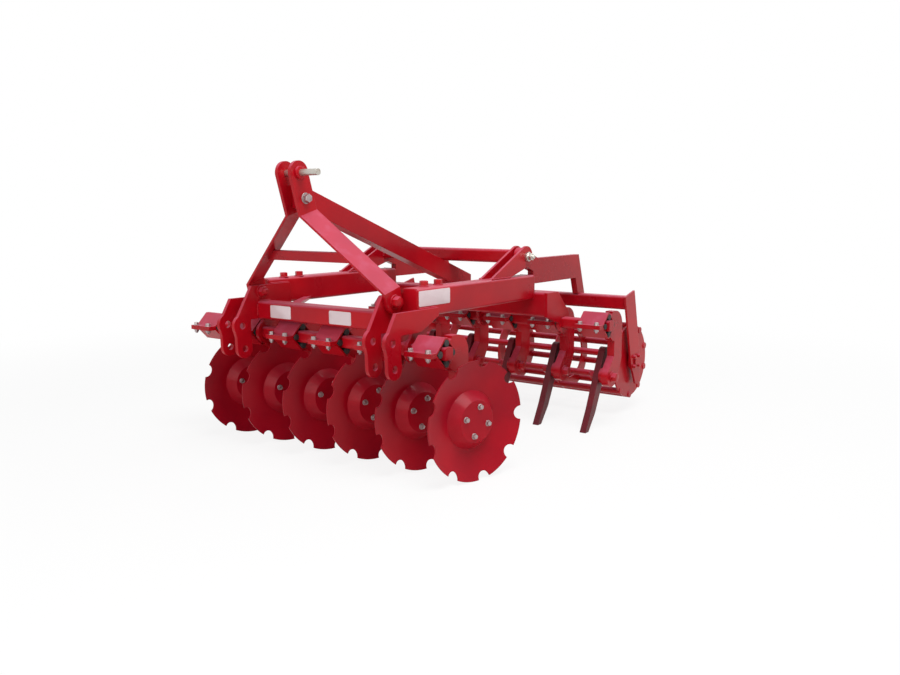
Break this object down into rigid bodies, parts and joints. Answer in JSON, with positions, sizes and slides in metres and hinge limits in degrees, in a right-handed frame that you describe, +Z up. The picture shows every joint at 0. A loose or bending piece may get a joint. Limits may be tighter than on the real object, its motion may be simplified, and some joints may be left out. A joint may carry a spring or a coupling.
{
  "type": "mounted compact disc harrow",
  "caption": "Mounted disc harrow: three-point mast and box frame, a row of notched discs on rubber-cord clamps, a row of tines and a hinged cage roller behind.",
  "frame": {"origin": "on the ground under the middle of the machine's box", "axes": "+X to the machine's left as it travels, +Y to its rear along its length, +Z up"},
  "size_m": [1.554, 1.8499, 1.1949],
  "materials": {
    "paint": "gloss",
    "disc_paint": "satin",
    "rubber": "matte",
    "steel": "satin"
  },
  "bodies": {
    "frame": {"front_beam": "paint", "rear_beam": "paint", "side_beam_left": "paint", "side_beam_right": "paint", "frame_diagonals": "paint", "hitch_plates_left": "paint", "hitch_plates_right": "paint", "mast_bar_left": "paint", "mast_bar_right": "paint", "mast_tie": "paint", "mast_brace": "paint", "top_link_pin": "steel", "disc_tube": "paint", "disc_tube_hangers": "paint", "tine_tube": "paint", "tine_tube_hangers": "paint", "tube_caps": "paint", "front_clamp_tops": "paint", "front_clamp_bottoms": "paint", "front_rubber_cords": "rubber", "front_arms": "paint", "rear_clamp_tops": "paint", "rear_clamp_bottoms": "paint", "rear_rubber_cords": "rubber", "rear_arms": "paint", "tines": "paint", "roller_bracket_left": "paint", "roller_bracket_right": "paint", "roller_cross_tube": "paint", "roller_pins": "steel", "roller_stops": "rubber"},
    "roller_frame": {"roller_arm_left": "paint", "roller_arm_right": "paint", "roller_beam_tube": "paint", "roller_end_plates": "paint"},
    "roller": {"roller_cage": "paint"},
    "disc_1": {"blade_1": "disc_paint", "hub_1": "paint"},
    "disc_2": {"blade_2": "disc_paint", "hub_2": "paint"},
    "disc_3": {"blade_3": "disc_paint", "hub_3": "paint"},
    "disc_4": {"blade_4": "disc_paint", "hub_4": "paint"},
    "disc_5": {"blade_5": "disc_paint", "hub_5": "paint"},
    "disc_6": {"blade_6": "disc_paint", "hub_6": "paint"}
  },
  "joints": [
    {"name": "roller_lift", "type": "hinge", "parent": "frame", "child": "roller_frame", "pos_m": [0.0125, 0.108, 0.8], "axis": [1, 0, 0], "range_deg": [0, 20]},
    {"name": "roller_spin", "type": "hinge", "parent": "roller_frame", "child": "roller", "pos_m": [0.0125, 0.739, 0.26], "axis": [1, 0, 0], "continuous": true},
    {"name": "disc_1_spin", "type": "hinge", "parent": "frame", "child": "disc_1", "pos_m": [-0.55, -0.637, 0.23], "axis": [0.9724, -0.2334, 0], "continuous": true},
    {"name": "disc_2_spin", "type": "hinge", "parent": "frame", "child": "disc_2", "pos_m": [-0.3, -0.637, 0.23], "axis": [0.9724, -0.2334, 0], "continuous": true},
    {"name": "disc_3_spin", "type": "hinge", "parent": "frame", "child": "disc_3", "pos_m": [-0.05, -0.637, 0.23], "axis": [0.9724, -0.2334, 0], "continuous": true},
    {"name": "disc_4_spin", "type": "hinge", "parent": "frame", "child": "disc_4", "pos_m": [0.2, -0.637, 0.23], "axis": [0.9724, -0.2334, 0], "continuous": true},
    {"name": "disc_5_spin", "type": "hinge", "parent": "frame", "child": "disc_5", "pos_m": [0.45, -0.637, 0.23], "axis": [0.9724, -0.2334, 0], "continuous": true},
    {"name": "disc_6_spin", "type": "hinge", "parent": "frame", "child": "disc_6", "pos_m": [0.7, -0.637, 0.23], "axis": [0.9724, -0.2334, 0], "continuous": true}
  ]
}
